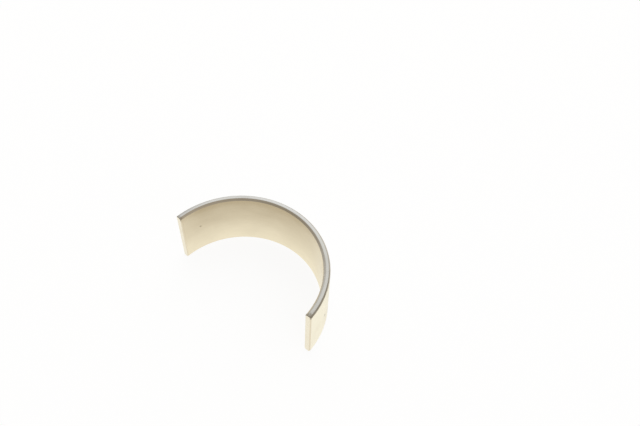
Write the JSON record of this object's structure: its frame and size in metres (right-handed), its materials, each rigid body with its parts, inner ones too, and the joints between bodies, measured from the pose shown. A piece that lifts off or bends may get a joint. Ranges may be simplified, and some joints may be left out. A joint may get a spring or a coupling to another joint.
{
  "type": "engine bearing shell",
  "caption": "Plain half-round bearing shell, thin steel-backed wall with chamfered ends and flat joint faces, that lines one half of a connecting-rod bore round a crankpin.",
  "frame": {"origin": "centre of the bearing: on the bore axis, halfway along the shell's width", "axes": "+Z along the bore axis, up as the shell stands on one end face; +Y from the axis to the crown; +X across the two joint faces"},
  "size_m": [0.0534, 0.0256, 0.02],
  "materials": {
    "shell_metal": "satin, fine bored lining inside, turned end faces"
  },
  "bodies": {
    "root": {"bearing_shell": "shell_metal"}
  },
  "joints": []
}
